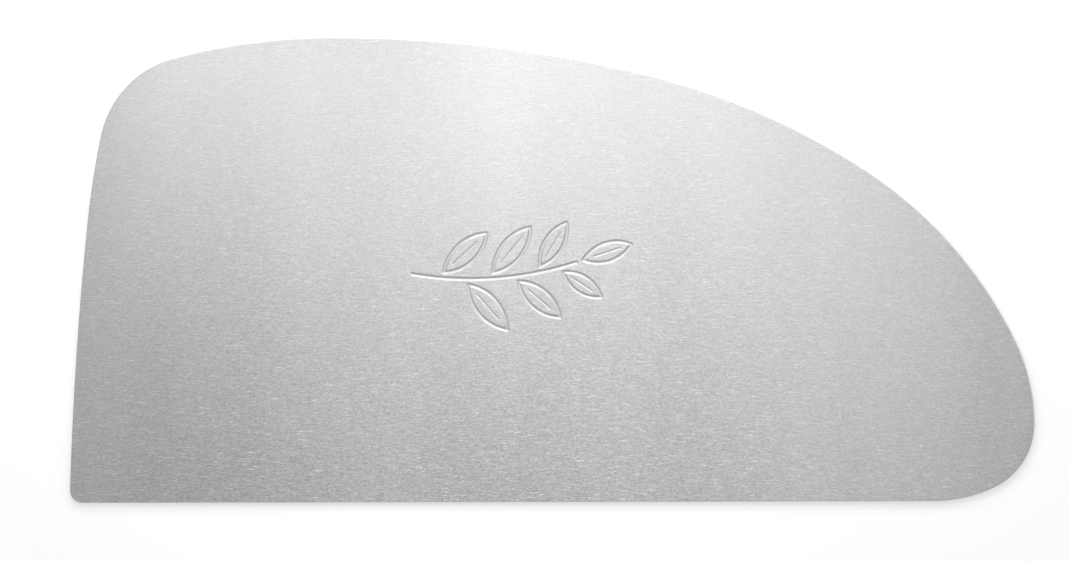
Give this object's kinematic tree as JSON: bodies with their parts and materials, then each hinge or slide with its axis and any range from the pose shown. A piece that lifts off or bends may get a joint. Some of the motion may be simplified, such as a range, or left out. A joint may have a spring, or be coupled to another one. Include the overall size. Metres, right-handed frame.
{
  "type": "pottery rib",
  "caption": "Flexible flat blade of brushed stainless sheet for shaping and smoothing clay, with one straight edge, a round shoulder, a long sweeping curve and a rounded nose.",
  "frame": {"origin": "under the middle of the blade's box, on the surface that the rib lies on", "axes": "+X along the straight working edge, from the heel to the rounded nose; +Y from the straight edge up to the crown; +Z out of the pressed face, through the sheet's thickness"},
  "size_m": [0.108, 0.0508, 0.0005],
  "materials": {
    "brushed_stainless": "satin, with short straight brushing along the length"
  },
  "bodies": {
    "root": {"rib_blade": "brushed_stainless"}
  },
  "joints": []
}
